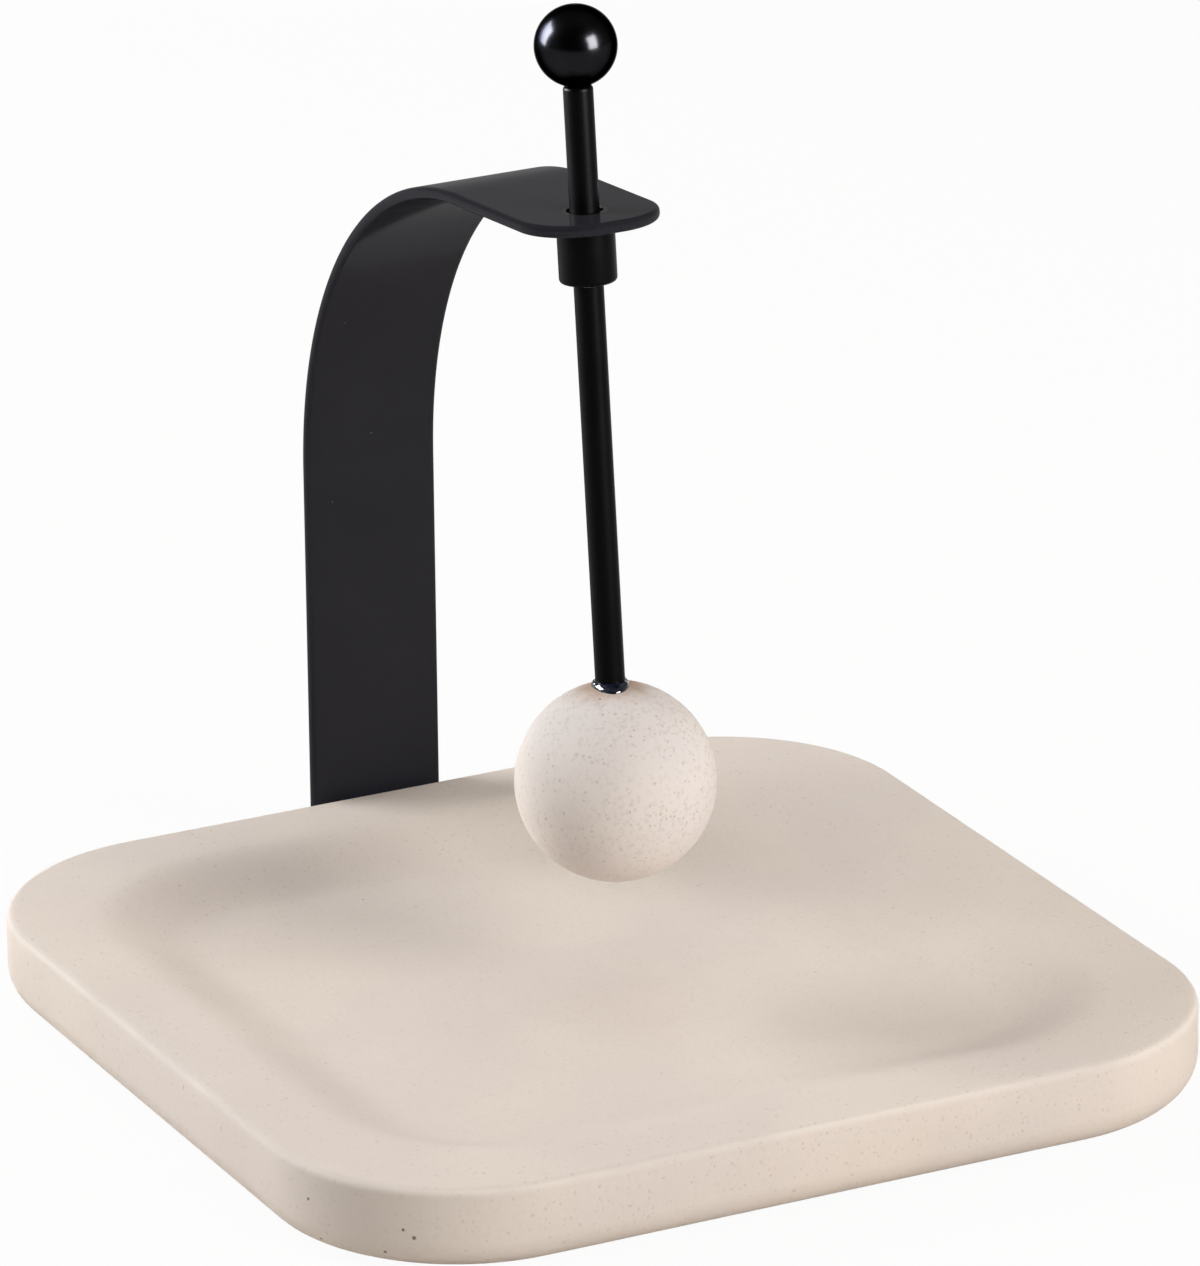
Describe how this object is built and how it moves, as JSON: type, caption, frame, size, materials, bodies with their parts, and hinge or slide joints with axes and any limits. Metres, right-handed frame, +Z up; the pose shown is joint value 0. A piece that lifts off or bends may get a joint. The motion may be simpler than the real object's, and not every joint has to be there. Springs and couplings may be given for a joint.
{
  "type": "napkin holder",
  "caption": "Dished square tray with a bent strip arching over it from the rear; a ball weight on a knobbed rod slides down through the strip to hold folded paper in place.",
  "frame": {"origin": "on the table under the middle of the outline, level with the undersides of the foot pads", "axes": "+Z up, +Y to the rear where the strip stands, +X to the right seen from the front"},
  "size_m": [0.2, 0.204, 0.2165],
  "materials": {
    "speckled_stone": "satin cream cast stone with fine brown-grey specks",
    "black_coat": "satin black powder coat",
    "black_gloss": "gloss black",
    "set_glue": "glossy dark set glue",
    "liner_nylon": "plain grey nylon",
    "screw_steel": "zinc-plated",
    "insert_brass": "plain turned brass",
    "pad_rubber": "matt black rubber"
  },
  "bodies": {
    "base": {"tray": "speckled_stone", "arch_strip": "black_coat", "foot_screws": "screw_steel", "thread_inserts": "insert_brass", "pad_front_left": "pad_rubber", "pad_front_right": "pad_rubber", "pad_rear_left": "pad_rubber", "pad_rear_right": "pad_rubber", "guide_collar": "black_coat"},
    "liner": {"guide_liner": "liner_nylon"},
    "plunger": {"rod": "black_coat", "knob": "black_gloss", "ball_weight": "speckled_stone", "glue_ring": "set_glue"}
  },
  "joints": [
    {"name": "rod_swivel", "type": "hinge", "parent": "base", "child": "liner", "pos_m": [0, -0.001, 0.1754], "axis": [0, 0.0941, 0.9956], "continuous": true},
    {"name": "rod_slide", "type": "slide", "parent": "liner", "child": "plunger", "axis": [0, 0.0941, 0.9956], "range_m": [-0.0255, 0.0805]}
  ]
}
